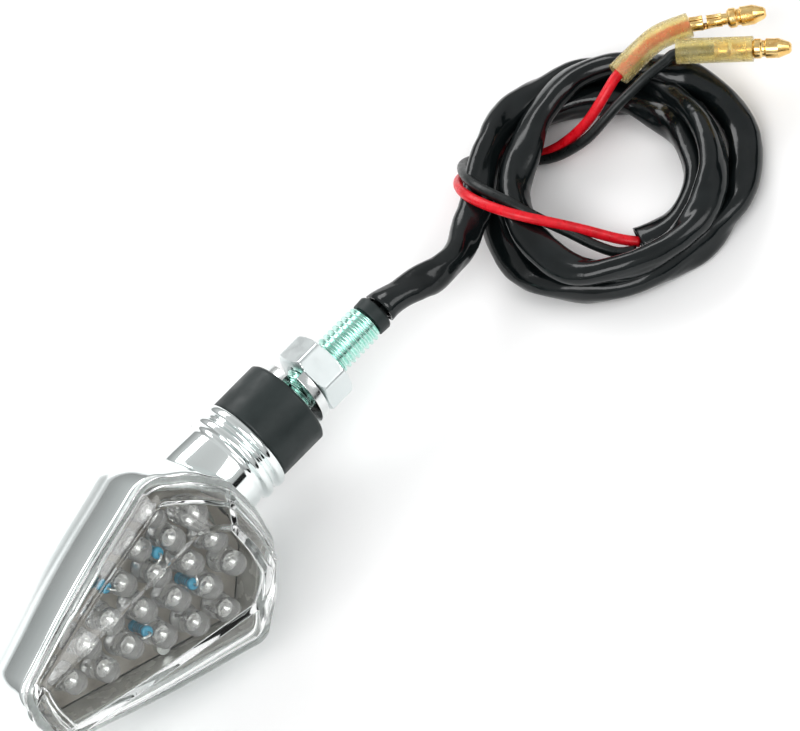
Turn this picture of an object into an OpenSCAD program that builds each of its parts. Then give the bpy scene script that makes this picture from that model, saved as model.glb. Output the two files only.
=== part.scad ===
// LED turn signal with a rubber flex stem, an M8 stud and a two-wire cable.
// +X runs along the stem towards the cable, +Z is up, and the object lies on z = 0.
// The head is modelled in its own frame: x along the stem, y across the lens, z out of the lens.

/* [Head] */
// Height of the lens rim above the stem axis
rim_height = 18; // [17:0.5:19]
// Depth of the straight side wall below the rim
wall_depth = 11; // [10:0.5:12]
// Wall thickness of the housing
wall = 1.8; // [1.4:0.1:2.2]
// Thickness of the lens
lens_wall = 1.8; // [1.4:0.1:2.2]
// Roll of the head about the stem axis, in degrees
head_roll = 64; // [60:1:68]

/* [Neck] */
// Radius of the plain neck
neck_r = 9.8; // [9.5:0.1:10]
// Radius of the two beads on the neck
bead_r = 10.4; // [10.2:0.1:10.5]
// Radius of the bore in the neck
neck_bore_r = 6; // [5.5:0.1:6.5]

/* [Stem] */
// Radius of the rubber collar
collar_r = 9.6; // [9:0.1:9.8]
// Length of the rubber collar
collar_len = 11.5; // [11:0.1:12]
// Radius of the M8 stud
stud_r = 4; // [4:0.1:4]
// Radius of the bore through the stud
stud_bore_r = 2.6; // [2.4:0.1:2.7]
// End of the stud, measured from the head end of the collar
stud_end = 33.9; // [33:0.1:35]
// Width of the hex nut across flats
nut_af = 13; // [13:0.1:13]
// Thickness of the hex nut
nut_thick = 6.4; // [6:0.1:6.5]
// Thickness of the lock washer's wire
washer_thick = 2; // [1.8:0.1:2.2]

/* [Lamps] */
// Diameter of an LED
led_d = 5; // [4.8:0.1:5.2]
// Height of an LED above its flange
led_height = 8.6; // [8:0.1:9]
// Height of the circuit board's top above the stem axis
board_top = 10.5; // [9:0.5:11]

/* [Cable] */
// Diameter of the sleeving
sleeving_d = 6; // [5.6:0.1:6.4]
// Diameter of a wire
wire_d = 2.1; // [2:0.1:2.2]
// Length of a terminal sleeve
sleeve_len = 15; // [14:0.5:16]

/* [Hidden] */
eps = 0.01;
curve_fn = 96;
hull_fn = 32;
axis_h = 17.5;
origin_x = -17.7;
origin_y = -9.98;

// Neck
bead_x = [-1.0, -4.1];
bead_w = 2.0;
neck_len = 15;
ferrule_len = 12;
ferrule_flange_r = 6.5;
ferrule_flange = [0.6, 2.4];
ferrule_bore_r = 3.2;
bond_gap = 0.02;

// Stud
stud_flange_r = 7;
stud_flange = [5.5, 7.5];
stud_chamfer = 0.8;
stud_free = 22.6;
shank_r = stud_r - 0.6;
grommet_end = 36.5;
grommet_r = 3.8;
grommet_bore_r = 2.1;
grommet_seat = 30;
nut_clear = 0.05;
washer_start = collar_len + 0.1;
washer_free = 4.5;
washer_r_in = 4.1;
washer_r_out = 7.4;
washer_turn = 345;
nut_start = washer_start + washer_free + 0.05;
nut_flat_angle = 4;

// Outline of the lens rim before its corners are rounded: x and half width
rim_outline = [[-12.4, 8.2], [-25, 21.8], [-71.6, 6.8]];
rim_round = 5;
board_inset = 3.2;
board_thick = 1.6;
post_r = 1.9;
post_foot = -0.6;
screw_r = 0.9;
screw_head_r = 1.5;
screw_at = [[-41.3, 11.6], [-41.3, -11.6]];

// Lens corners above the rim: x, half width, height
flank_corners = [[-16.8, 7.6, 8], [-26.5, 18.2, 7.7], [-66.5, 6.4, 4.2]];
plateau_corners = [[-20, 6.2, 12.9], [-26.5, 11.8, 12], [-69.5, 4.8, 4.9]];
lens_middle = -40;
lens_seat = 1.2;
gasket_thick = 0.8;

// LED places: x and y in the head's frame
led_rows = [[-21.5, [-6.5, 0, 6.5]], [-28, [-13, -6.5, 0, 6.5, 13]], [-34.5, [-10.2, -3.4, 3.4, 10.2]],
            [-41, [-7, 0, 7]], [-47.5, [-3.5, 3.5]], [-54, [-3.3, 3.3]], [-60.5, [0]]];
led_at = [for (row = led_rows) for (y = row[1]) [row[0], y]];
led_stand = 0.8;
led_flange = 0.3;
resistor_at = [[-32.1, 6.8], [-44.3, 9.6], [-30.4, -3.25], [-43.3, -3.5]];
resistor_len = 6.3;
resistor_r = 1.2;
lead_r = 0.3;

// Cable routes: x and y as in the stem's frame, z above the table
lead_route = [[36.5, 0, 17.5], [38.5, 0, 17.5], [41.6, -0.5, 17.1], [45.4, -1, 16.1], [51, -1.3, 13.8],
              [56.7, 0, 11.7], [60.5, 1.9, 10.6], [64.1, 4, 10.2]];
red_route = [[83.1, -22.7, 3.2], [80.6, -19.2, 4.5], [77.1, -14.8, 8], [74.1, -11.2, 10.8], [71.1, -7.2, 13.2],
             [69.1, -3.2, 14.2], [67.8, 1.8, 14.2], [67.5, 6.8, 13.2], [68.8, 11.4, 10.5], [71.3, 15.4, 6.5],
             [74.3, 17.2, 3], [78.1, 16, 1.3], [82.1, 12.9, 1.2], [86.1, 9.9, 1.4], [89.1, 6.9, 3],
             [92.6, 4, 6], [95.8, 2.1, 9], [99.1, 1.2, 11.7], [102.5, 1.1, 13.5], [105.1, 1.3, 14],
             [110.1, 1.1, 14.4], [114.1, 0.8, 14.4], [118.1, -0.5, 14.2], [121.9, -2.3, 13.8]];
black_route = [[81.3, -23.2, 3], [78.5, -21.2, 4], [76.4, -17.4, 6], [74.5, -12.7, 9], [72.6, -8.5, 11.8],
               [71.6, -5.5, 13.4], [70.9, -1.5, 14.2], [70.1, 4.2, 14.2], [70.3, 9, 13], [72, 13.7, 10],
               [74.5, 17.6, 6], [77.5, 18.8, 2.8], [80.5, 17, 1.2], [83.3, 13.2, 1.1], [85.5, 9.6, 1.1],
               [87.7, 6.3, 2.2], [90.5, 3.1, 4.5], [93.5, 0.6, 7], [97, -0.9, 9.5], [100.8, -2, 11.6],
               [104.9, -3, 13], [108.8, -3.8, 13.9], [112.6, -4.5, 14.1], [115.4, -5.1, 14.2],
               [120.7, -10.3, 13.3]];
coil_centre = [90.8, -7.5];
coil_profile = [[15, 0.1], [26, 0.1], [29.3, 2], [29.3, 5], [26, 10.2], [24, 11], [16, 11], [15, 10]];

// Terminals: base, direction and the length of the stretch behind the bullet
red_base = [121.9, -2.3, 13.8];
red_dir = [0.773, -0.62, -0.132];
black_base = [120.7, -10.3, 13.3];
black_dir = [0.663, -0.737, -0.13];
black_sleeve_base = [115.7, -4.8, 14.28];
red_sleeve_route = [[105.1, 1.3, 14], [109.6, 1.1, 14.3], [113.1, 0.9, 14.4], [115.6, 0.5, 14.4],
                    [118.1, -0.4, 14.2], [121.9, -2.3, 13.8]];
sleeve_r_out = 2.5;
sleeve_r_in = 2.05;
bullet_r = 1.95;
crimp_r = 1.5;
crimp_len = 7;
bullet_start = 7.6;
bullet_wall = 4.6;
bullet_tip = 2.8;

LEDS = [for (i = [1:len(led_at)]) str("led_", i < 10 ? "0" : "", i)];
RESISTORS = [for (i = [1:len(resistor_at)]) str("resistor_", i)];

// --- places -------------------------------------------------------------------------------------

// From the stem's frame, whose x axis is the stem axis
module on_stem() translate([-origin_x, -origin_y, axis_h]) children();

// From the table's frame, whose x and y are the stem's
module on_table() translate([-origin_x, -origin_y, 0]) children();

// From the head's frame
module on_head() on_stem() rotate([head_roll, 0, 0]) children();

// A cylinder along +X from x0 to x1
module rod(x0, x1, r, fn = curve_fn)
    translate([x0, 0, 0]) rotate([0, 90, 0]) cylinder(h = x1 - x0, r = r, $fn = fn);

// Turns +Z to a direction
module along(dir) {
    flat = norm([dir[0], dir[1]]);
    rotate([0, atan2(flat, dir[2]), atan2(dir[1], dir[0])]) children();
}

// --- swept tube ---------------------------------------------------------------------------------

function unit(v) = v / norm(v);
function tangent(path, i) =
    unit(path[min(i + 1, len(path) - 1)] - path[max(i - 1, 0)]);
function ring(centre, dir, r, sides) =
    let (a = unit(cross(dir, [0, 0, 1])), b = cross(dir, a))
    [for (k = [0:sides - 1]) centre + r * (cos(360 * k / sides) * a + sin(360 * k / sides) * b)];

// The path with its two end points moved outwards by 1 mm
function lengthened(path) =
    [for (i = [0:len(path) - 1])
        i == 0 ? path[0] - tangent(path, 0) : i == len(path) - 1 ? path[i] + tangent(path, i) : path[i]];

// A closed tube of the given radius along a path
module tube(path, r, sides = 8) {
    n = len(path);
    points = [for (i = [0:n - 1]) each ring(path[i], tangent(path, i), r, sides)];
    skin = [for (i = [0:n - 2], k = [0:sides - 1])
            let (m = (k + 1) % sides)
            [i * sides + k, (i + 1) * sides + k, (i + 1) * sides + m, i * sides + m]];
    start = [[for (k = [0:sides - 1]) k]];
    end = [[for (k = [0:sides - 1]) n * sides - 1 - k]];
    polyhedron(points, concat(skin, start, end), convexity = 6);
}

// --- head ---------------------------------------------------------------------------------------

function mirrored(half) =
    concat([for (p = half) [p[0], p[1]]], [for (i = [len(half) - 1:-1:0]) [half[i][0], -half[i][1]]]);

// The rim's outline, drawn in by inset
module outline(inset = 0) {
    round_r = max(rim_round - inset, 0.8);
    offset(r = round_r, $fn = hull_fn) offset(delta = -inset - round_r) polygon(mirrored(rim_outline));
}

module slab(z, inset) translate([0, 0, z]) linear_extrude(eps) outline(inset);

// The housing's filled shape, drawn in by skin
module bowl(skin, top) {
    hull() {
        slab(top, skin);
        slab(rim_height - wall_depth, skin - 0.3);
        slab(rim_height - wall_depth - 7, skin + 1.6);
        slab(-6 + skin, skin + 6.5);
        slab(-9.6 + skin, skin + 12);
    }
}

module housing() color([0.82, 0.86, 0.86]) on_head() {
    difference() {
        union() {
            bowl(0, rim_height);
            rod(-neck_len - 6, -6.9, neck_r);
            rod(-6.9, 0, neck_r - 0.35);
            for (x = bead_x) rod(x - bead_w / 2, x + bead_w / 2, bead_r);
        }
        bowl(wall, rim_height + 1);
        rod(-neck_len - 12, 1, neck_bore_r);
    }
    for (p = screw_at) translate([p[0], p[1], 0]) post();
}

// A post that the board is screwed to
module post() {
    top = board_top - board_thick;
    difference() {
        translate([0, 0, post_foot]) cylinder(h = top - post_foot, r = post_r, $fn = curve_fn);
        translate([0, 0, top - 6]) cylinder(h = 7, r = screw_r, $fn = curve_fn);
    }
}

// Corners of one facet level of the lens, drawn in by skin
module corners(level, skin)
    for (p = level, side = [-1, 1])
        translate([p[0] + skin * sign(lens_middle - p[0]), side * (p[1] - skin), rim_height + p[2] - skin])
            cube(eps, center = true);

module lens_solid(skin, base) hull() {
    slab(base, lens_seat + skin);
    corners(flank_corners, skin);
    corners(plateau_corners, skin);
}

module lens() color([0.9, 0.95, 0.95, 0.35]) on_head() difference() {
    union() {
        lens_solid(0, rim_height + gasket_thick);
        translate([0, 0, rim_height + gasket_thick]) linear_extrude(1) outline(0.4);
    }
    lens_solid(lens_wall, rim_height + gasket_thick - 1);
}

module lens_gasket() color([0.12, 0.12, 0.12]) on_head() translate([0, 0, rim_height + 0.02])
    linear_extrude(gasket_thick - 0.04) difference() {
        outline(0.3);
        outline(wall + 0.6);
    }

module liner() color([0.6, 0.63, 0.63]) on_head() translate([0, 0, board_top + 0.1])
    linear_extrude(rim_height - board_top - 0.4) difference() {
        outline(wall + 0.3);
        outline(wall + 1.1);
    }

module circuit_board() color([0.62, 0.6, 0.52]) on_head() difference() {
    translate([0, 0, board_top - board_thick]) linear_extrude(board_thick) outline(board_inset);
    for (p = screw_at) translate([p[0], p[1], 0])
        cylinder(h = board_top + 1, r = screw_r + 0.2, $fn = curve_fn);
}

module board_screws() color([0.75, 0.77, 0.77]) on_head() for (p = screw_at) translate([p[0], p[1], 0]) {
    translate([0, 0, board_top]) cylinder(h = 1.6, r = screw_head_r, $fn = curve_fn);
    translate([0, 0, board_top - board_thick - 5])
        cylinder(h = board_thick + 5.1, r = screw_r - 0.02, $fn = curve_fn);
}

module led(p) color([0.92, 0.95, 0.95, 0.6]) on_head() translate([p[0], p[1], board_top + led_stand])
    rotate_extrude($fn = 48) polygon(concat(
        [[0, 0], [led_d / 2 + led_flange, 0], [led_d / 2 + led_flange, 1], [led_d / 2, 1]],
        [for (a = [0:15:90]) [led_d / 2 * cos(a), led_height - led_d / 2 + led_d / 2 * sin(a)]]));

module resistor(p) color([0.2, 0.6, 0.75]) on_head() translate([p[0], p[1], board_top + 1.2])
    cylinder(h = resistor_len, r = resistor_r, $fn = 48);

module led_leads() color([0.8, 0.8, 0.78]) on_head() {
    for (p = led_at, side = [-1.27, 1.27]) leg(p[0], p[1] + side, led_stand);
    for (p = resistor_at) leg(p[0], p[1], 1.2);
}

// A cut leg through the board
module leg(x, y, stand) translate([x, y, board_top])
    cylinder(h = stand, r = lead_r, $fn = 24);

module head_leads() color([0.2, 0.2, 0.2]) on_head() for (side = [-1.2, 1.2])
    tube([[-24, side, board_top - board_thick], [-23, side, 5], [-19, side, 1.2], [-14, side, 0],
          [-1, side, 0]], 0.9);

module ferrule() color([0.75, 0.77, 0.75]) on_stem() difference() {
    union() {
        rod(-ferrule_len, ferrule_flange[0], neck_bore_r);
        rod(ferrule_flange[0] - 0.1, ferrule_flange[1], ferrule_flange_r);
    }
    rod(-ferrule_len - 1, ferrule_flange[1] + 1, ferrule_bore_r);
}

// --- stem ---------------------------------------------------------------------------------------

module rubber_collar() color([0.15, 0.18, 0.18]) on_stem() difference() {
    rod(0, collar_len, collar_r);
    rod(-1, ferrule_flange[0], neck_bore_r + bond_gap);
    rod(ferrule_flange[0] - 0.2, ferrule_flange[1] + bond_gap, ferrule_flange_r + bond_gap);
    rod(0, collar_len + 1, ferrule_bore_r);
    rod(stud_flange[0] - bond_gap, stud_flange[1] + bond_gap, stud_flange_r + bond_gap);
    rod(stud_flange[1], collar_len + 1, shank_r + bond_gap);
}

module stud() color([0.72, 0.9, 0.86]) on_stem() difference() {
    union() {
        rod(stud_flange[0], stud_flange[1], stud_flange_r);
        rod(stud_flange[1] - 0.1, stud_free + 0.1, shank_r);
        rod(stud_free, stud_end - stud_chamfer, stud_r);
        translate([stud_end - stud_chamfer, 0, 0]) rotate([0, 90, 0])
            cylinder(h = stud_chamfer, r1 = stud_r, r2 = stud_r - stud_chamfer, $fn = curve_fn);
    }
    rod(stud_flange[0] - 1, stud_end + 1, stud_bore_r);
}

module inner_leads() color([0.2, 0.2, 0.2]) on_stem() for (side = [-1, 1])
    translate([0, side, 0]) rod(1.5, grommet_end - 0.1, 0.95, 24);

module grommet() color([0.12, 0.13, 0.13]) on_stem() difference() {
    union() {
        rod(stud_end, grommet_end, grommet_r);
        rod(grommet_seat, stud_end + 0.1, stud_bore_r);
    }
    rod(grommet_seat - 1, grommet_end + 1, grommet_bore_r);
}

// One section of the spring washer, on the ray at an angle
function washer_section(a, x) =
    [for (c = [[washer_r_in, 0], [washer_r_out, 0], [washer_r_out, washer_thick],
               [washer_r_in, washer_thick]])
        [x + c[1], c[0] * cos(a), c[0] * sin(a)]];

module lock_washer() color([0.78, 0.84, 0.84]) on_stem() {
    steps = 46;
    rise = washer_free - washer_thick;
    points = [for (i = [0:steps])
        each washer_section(washer_turn * i / steps + 110, washer_start + rise * (1 - i / steps))];
    skin = [for (i = [0:steps - 1], k = [0:3])
            let (m = (k + 1) % 4)
            [i * 4 + k, i * 4 + m, (i + 1) * 4 + m, (i + 1) * 4 + k]];
    polyhedron(points, concat(skin, [[3, 2, 1, 0]], [[for (k = [0:3]) steps * 4 + k]]), convexity = 6);
}

module hex_nut() color([0.8, 0.86, 0.86]) on_stem() translate([nut_start, 0, 0]) difference() {
    intersection() {
        rotate([nut_flat_angle, 0, 0]) rotate([0, 90, 0]) rotate([0, 0, 30])
            cylinder(h = nut_thick, r = nut_af / 2 / cos(30), $fn = 6);
        union() {
            nut_chamfer(0, 1.3);
            rod(1.2, nut_thick - 1.2, nut_af);
            nut_chamfer(nut_thick - 1.3, 1.3);
        }
    }
    rod(-1, nut_thick + 1, stud_r + nut_clear);
}

// One chamfered end of the nut, widening away from the end face
module nut_chamfer(x, len) {
    small = nut_af / 2 - 0.1;
    wide = small + len * 1.732;
    translate([x, 0, 0]) rotate([0, 90, 0])
        cylinder(h = len, r1 = x == 0 ? small : wide, r2 = x == 0 ? wide : small, $fn = curve_fn);
}

// --- cable --------------------------------------------------------------------------------------

module sleeving_lead() color([0.1, 0.12, 0.12]) on_table() tube(lead_route, sleeving_d / 2, 12);

module sleeving_coil() color([0.1, 0.12, 0.12]) on_table() translate([coil_centre[0], coil_centre[1], 0])
    rotate_extrude($fn = curve_fn) polygon(coil_profile);

module red_wire() color([0.9, 0.1, 0.15]) on_table() tube(red_route, wire_d / 2);

module black_wire() color([0.1, 0.1, 0.1]) on_table() tube(black_route, wire_d / 2);

// A bullet terminal along +Z: crimp, neck, then the bullet with its tapered tip
module terminal() {
    cylinder(h = crimp_len, r = crimp_r, $fn = 48);
    translate([0, 0, crimp_len - 0.1]) cylinder(h = bullet_start - crimp_len + 0.2, r = 1.2, $fn = 48);
    translate([0, 0, bullet_start]) cylinder(h = bullet_wall, r = bullet_r, $fn = 48);
    translate([0, 0, bullet_start + bullet_wall])
        cylinder(h = bullet_tip, r1 = bullet_r, r2 = 0.9, $fn = 48);
}

module red_terminal() color([0.9, 0.7, 0.3]) on_table() translate(red_base) along(red_dir) terminal();

module black_terminal() color([0.9, 0.7, 0.3]) on_table() translate(black_base) along(black_dir) terminal();

// The red sleeve is kinked in its middle
module red_sleeve() color([0.9, 0.85, 0.5, 0.7]) on_table() difference() {
    tube(red_sleeve_route, sleeve_r_out, 16);
    tube(lengthened(red_sleeve_route), sleeve_r_in, 16);
}

module black_sleeve() color([0.9, 0.85, 0.5, 0.7]) on_table() translate(black_sleeve_base) along(black_dir)
    difference() {
        cylinder(h = sleeve_len, r = sleeve_r_out, $fn = 48);
        translate([0, 0, -1]) cylinder(h = sleeve_len + 2, r = sleeve_r_in, $fn = 48);
    }

housing();
lens();
lens_gasket();
liner();
circuit_board();
board_screws();
led_leads();
head_leads();
ferrule();
rubber_collar();
stud();
inner_leads();
grommet();
lock_washer();
hex_nut();
sleeving_lead();
sleeving_coil();
red_wire();
black_wire();
red_terminal();
black_terminal();
red_sleeve();
black_sleeve();
for (i = [0:len(LEDS) - 1]) led(led_at[i]);
for (i = [0:len(RESISTORS) - 1]) resistor(resistor_at[i]);
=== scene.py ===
"""Looks of the LED turn signal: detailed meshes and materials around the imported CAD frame."""
import math

import bmesh
import bpy
from mathutils import Matrix, Vector, noise


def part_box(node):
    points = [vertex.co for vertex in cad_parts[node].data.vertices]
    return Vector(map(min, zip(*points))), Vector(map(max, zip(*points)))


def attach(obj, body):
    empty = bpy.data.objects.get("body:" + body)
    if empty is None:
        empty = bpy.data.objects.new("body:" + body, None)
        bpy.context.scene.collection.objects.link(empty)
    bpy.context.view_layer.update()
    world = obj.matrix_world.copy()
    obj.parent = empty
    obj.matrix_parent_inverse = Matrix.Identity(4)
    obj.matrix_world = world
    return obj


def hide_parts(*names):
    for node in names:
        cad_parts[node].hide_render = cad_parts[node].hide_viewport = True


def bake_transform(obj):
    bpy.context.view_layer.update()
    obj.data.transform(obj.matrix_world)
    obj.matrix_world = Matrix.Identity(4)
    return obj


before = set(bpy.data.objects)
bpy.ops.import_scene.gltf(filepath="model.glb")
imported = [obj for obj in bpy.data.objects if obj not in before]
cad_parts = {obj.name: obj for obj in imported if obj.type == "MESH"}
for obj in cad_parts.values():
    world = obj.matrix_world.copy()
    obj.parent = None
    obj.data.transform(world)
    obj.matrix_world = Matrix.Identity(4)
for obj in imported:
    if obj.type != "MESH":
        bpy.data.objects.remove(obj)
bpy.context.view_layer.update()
MM = 0.001

# --- places -------------------------------------------------------------------------------------

COLLAR_LOW, COLLAR_HIGH = (Vector(corner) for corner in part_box("rubber_collar"))
AXIS_START = Vector((COLLAR_LOW.x, (COLLAR_LOW.y + COLLAR_HIGH.y) / 2, (COLLAR_LOW.z + COLLAR_HIGH.z) / 2))
COLLAR_LENGTH = (COLLAR_HIGH.x - COLLAR_LOW.x) / MM
HEAD_ROLL = math.radians(64)
STEM = Matrix.Translation(AXIS_START) @ Matrix.Scale(MM, 4)
TABLE = Matrix.Translation((AXIS_START.x, AXIS_START.y, 0)) @ Matrix.Scale(MM, 4)
HEAD = STEM @ Matrix.Rotation(HEAD_ROLL, 4, "X")

# Head: rim outline corners (x, half width), their radii, and heights above the stem axis, in mm
RIM = [(-12.4, 8.2), (-25.0, 21.8), (-71.6, 6.8)]
RIM_HEIGHT = 18.0
WALL_BOTTOM = 7.0
BACK = -9.2
BOARD_TOP = 10.5
LED_STAND = 0.8
LED_ROWS = [(-21.5, (-6.5, 0, 6.5)), (-28, (-13, -6.5, 0, 6.5, 13)), (-34.5, (-10.2, -3.4, 3.4, 10.2)),
            (-41, (-7, 0, 7)), (-47.5, (-3.5, 3.5)), (-54, (-3.3, 3.3)), (-60.5, (0,))]
RESISTORS = [(-32.1, 6.8), (-44.3, 9.6), (-30.4, -3.25), (-43.3, -3.5)]

# Stem, in mm from the head end of the rubber collar
STUD_END = 33.9
THREAD_PITCH = 1.25
NUT_START = 16.15
NUT_THICK = 6.4
NUT_FLATS = 13.0
NUT_TURN = math.radians(4)
WASHER_START = 11.6
WASHER_FREE = 4.5
GROMMET_END = 36.5

# Cable routes, in mm on the table, as in the CAD source
LEAD = [(36.5, 0, 17.5), (38.5, 0, 17.5), (41.6, -0.5, 17.1), (45.4, -1, 16.1), (51, -1.3, 13.8),
        (56.7, 0, 11.7), (60.5, 1.9, 10.6), (64.1, 4, 10.2)]
COIL_CENTRE = (90.8, -7.5)
COIL_START = 150
COIL_STEP = -30
COIL = [(26.6, 10.2), (24, 10), (25, 6.8), (26.5, 3), (22.5, 3), (19.5, 5.2), (20, 7.6), (22, 8), (24, 8),
        (25, 8), (25, 8.4), (21.5, 9.8), (18.5, 10.2), (16.5, 10.2), (18.5, 9.2), (22, 8.4), (23, 8),
        (25, 5.6), (26.5, 2.9), (26.2, 2.9), (25.5, 2.9), (25, 2.9), (26, 2.9), (26, 3.6), (24, 4.8),
        (22.5, 4.8), (22.5, 3.6), (19.5, 2.9), (17.5, 2.9), (16, 2.9), (15.8, 2.9), (17, 2.9), (17.5, 2.9)]
RED_ROUTE = [(83.1, -22.7, 3.2), (80.6, -19.2, 4.5), (77.1, -14.8, 8), (74.1, -11.2, 10.8),
             (71.1, -7.2, 13.2), (69.1, -3.2, 14.2), (67.8, 1.8, 14.2), (67.5, 6.8, 13.2),
             (68.8, 11.4, 10.5), (71.3, 15.4, 6.5), (74.3, 17.2, 3), (78.1, 16, 1.3), (82.1, 12.9, 1.2),
             (86.1, 9.9, 1.4), (89.1, 6.9, 3), (92.6, 4, 6), (95.8, 2.1, 9), (99.1, 1.2, 11.7),
             (102.5, 1.1, 13.5), (105.1, 1.3, 14), (110.1, 1.1, 14.4), (114.1, 0.8, 14.4),
             (118.1, -0.5, 14.2), (121.9, -2.3, 13.8)]
BLACK_ROUTE = [(81.3, -23.2, 3), (78.5, -21.2, 4), (76.4, -17.4, 6), (74.5, -12.7, 9), (72.6, -8.5, 11.8),
               (71.6, -5.5, 13.4), (70.9, -1.5, 14.2), (70.1, 4.2, 14.2), (70.3, 9, 13), (72, 13.7, 10),
               (74.5, 17.6, 6), (77.5, 18.8, 2.8), (80.5, 17, 1.2), (83.3, 13.2, 1.1), (85.5, 9.6, 1.1),
               (87.7, 6.3, 2.2), (90.5, 3.1, 4.5), (93.5, 0.6, 7), (97, -0.9, 9.5), (100.8, -2, 11.6),
               (104.9, -3, 13), (108.8, -3.8, 13.9), (112.6, -4.5, 14.1), (115.4, -5.1, 14.2),
               (120.7, -10.3, 13.3)]
RED_SLEEVE = [(105.1, 1.3, 14), (109.6, 1.1, 14.3), (113.1, 0.9, 14.4), (115.6, 0.5, 14.4),
              (118.1, -0.4, 14.2), (121.9, -2.3, 13.8)]
RED_BASE, RED_DIR = (121.9, -2.3, 13.8), (0.773, -0.62, -0.132)
BLACK_BASE, BLACK_DIR = (120.7, -10.3, 13.3), (0.663, -0.737, -0.13)
BLACK_SLEEVE_BASE = (115.7, -4.8, 14.28)
SLEEVE_LENGTH = 15
SLEEVE_OUT, SLEEVE_IN = 2.5, 2.05
SLEEVING_D = 6.0
WIRE_D = 2.1


# --- mesh helpers -------------------------------------------------------------------------------

def link(name, mesh, materials, body, smooth=True):
    """Adds a mesh to the scene as a piece on a body."""
    obj = bpy.data.objects.new(name, mesh)
    bpy.context.scene.collection.objects.link(obj)
    for material in materials:
        mesh.materials.append(material)
    for polygon in mesh.polygons:
        polygon.use_smooth = smooth
    if body:
        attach(obj, body)
    return obj


def skin(rings, closed=True, start_cap=True, end_cap=True, around=True):
    """Vertices and faces of the skin over rings of equal length; closed joins the last ring's ends."""
    count = len(rings[0])
    verts = [point for ring in rings for point in ring]
    faces = []
    for i in range(len(rings) - 1):
        for k in range(count if closed else count - 1):
            m = (k + 1) % count
            faces.append((i * count + k, i * count + m, (i + 1) * count + m, (i + 1) * count + k))
    if start_cap:
        faces.append(tuple(reversed(range(count))))
    if end_cap:
        faces.append(tuple(range((len(rings) - 1) * count, len(rings) * count)))
    return verts, faces


def mesh_of(name, parts, matrix):
    """One mesh from (vertices, faces, material index) parts, with its normals turned outwards."""
    bm = bmesh.new()
    for verts, faces, index in parts:
        made = [bm.verts.new(matrix @ Vector(v)) for v in verts]
        for face in faces:
            corners = list(dict.fromkeys(face))
            if len(corners) > 2:
                bm.faces.new([made[i] for i in corners]).material_index = index
    bmesh.ops.remove_doubles(bm, verts=bm.verts, dist=1e-7)
    bmesh.ops.recalc_face_normals(bm, faces=bm.faces)
    mesh = bpy.data.meshes.new(name)
    bm.to_mesh(mesh)
    bm.free()
    return mesh


def turned(profile, segments=64):
    """Rings of a profile of (x, r) points turned about the x axis; a closed profile ends where it began."""
    rings = []
    for i in range(segments + 1):
        a = 2 * math.pi * (i % segments) / segments
        rings.append([(x, r * math.cos(a), r * math.sin(a)) for x, r in profile])
    return rings


def turned_solid(profile, index=0, segments=64):
    """A part turned from a closed (x, r) profile."""
    verts, faces = skin(turned(profile, segments), True, False, False)
    return verts, faces, index


def rounded(profile, radius, steps=4):
    """A closed profile with every corner rounded; a point may carry its own radius as a third value."""
    out = []
    count = len(profile)
    for i, point in enumerate(profile):
        here = Vector(point[:2])
        size = point[2] if len(point) > 2 else radius
        before = Vector(profile[i - 1][:2]) - here
        after = Vector(profile[(i + 1) % count][:2]) - here
        if size <= 0:
            out.append(tuple(here))
            continue
        half = before.angle(after) / 2
        reach = min(size / math.tan(half), before.length * 0.48, after.length * 0.48)
        start = here + before.normalized() * reach
        end = here + after.normalized() * reach
        for k in range(steps + 1):
            t = k / steps
            out.append(tuple(start.lerp(here, t).lerp(here.lerp(end, t), t)))
    return out


def smooth_path(points, step):
    """Points along a Catmull-Rom curve through a route, about one step apart."""
    points = [Vector(p) for p in points]
    out = []
    for i in range(len(points) - 1):
        p0 = points[max(i - 1, 0)]
        p1, p2 = points[i], points[i + 1]
        p3 = points[min(i + 2, len(points) - 1)]
        count = max(1, round((p2 - p1).length / step))
        for k in range(count):
            t = k / count
            out.append(0.5 * ((2 * p1) + (p2 - p0) * t + (2 * p0 - 5 * p1 + 4 * p2 - p3) * t ** 2
                              + (3 * p1 - p0 - 3 * p2 + p3) * t ** 3))
    out.append(points[-1])
    return out


def frames(points):
    """A tangent and two cross directions at each point, carried along without twist."""
    tangents = [(points[min(i + 1, len(points) - 1)] - points[max(i - 1, 0)]).normalized()
                for i in range(len(points))]
    side = tangents[0].cross(Vector((0, 0, 1))).normalized()
    out = []
    for tangent in tangents:
        side = (side - tangent * side.dot(tangent)).normalized()
        out.append((tangent, side, tangent.cross(side)))
    return out


def tube_rings(points, section, sides):
    """Rings along a path; section(i, angle) gives the radius there."""
    rings = []
    for i, (point, (tangent, side, up)) in enumerate(zip(points, frames(points))):
        ring = []
        for k in range(sides):
            a = 2 * math.pi * k / sides
            offset = section(i, a)
            ring.append(tuple(point + side * offset[0] + up * offset[1]))
        rings.append(ring)
    return rings


def round_section(radius):
    return lambda i, a: (radius * math.cos(a), radius * math.sin(a))


def aim(base, direction):
    """The matrix that puts local +X at a base point on the table, along a direction."""
    x = Vector(direction).normalized()
    y = Vector((0, 0, 1)).cross(x).normalized()
    z = x.cross(y)
    turn = Matrix((x, y, z)).transposed().to_4x4()
    return TABLE @ Matrix.Translation(base) @ turn


# --- materials ----------------------------------------------------------------------------------

def principled(name, color, roughness, **sockets):
    """A Principled material with uniform values on its own sockets."""
    material = bpy.data.materials.new(name)
    material.use_nodes = True
    shader = material.node_tree.nodes["Principled BSDF"]
    shader.inputs["Base Color"].default_value = (*color, 1)
    shader.inputs["Roughness"].default_value = roughness
    for socket, value in sockets.items():
        shader.inputs[socket.replace("_", " ")].default_value = value
    return material


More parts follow.
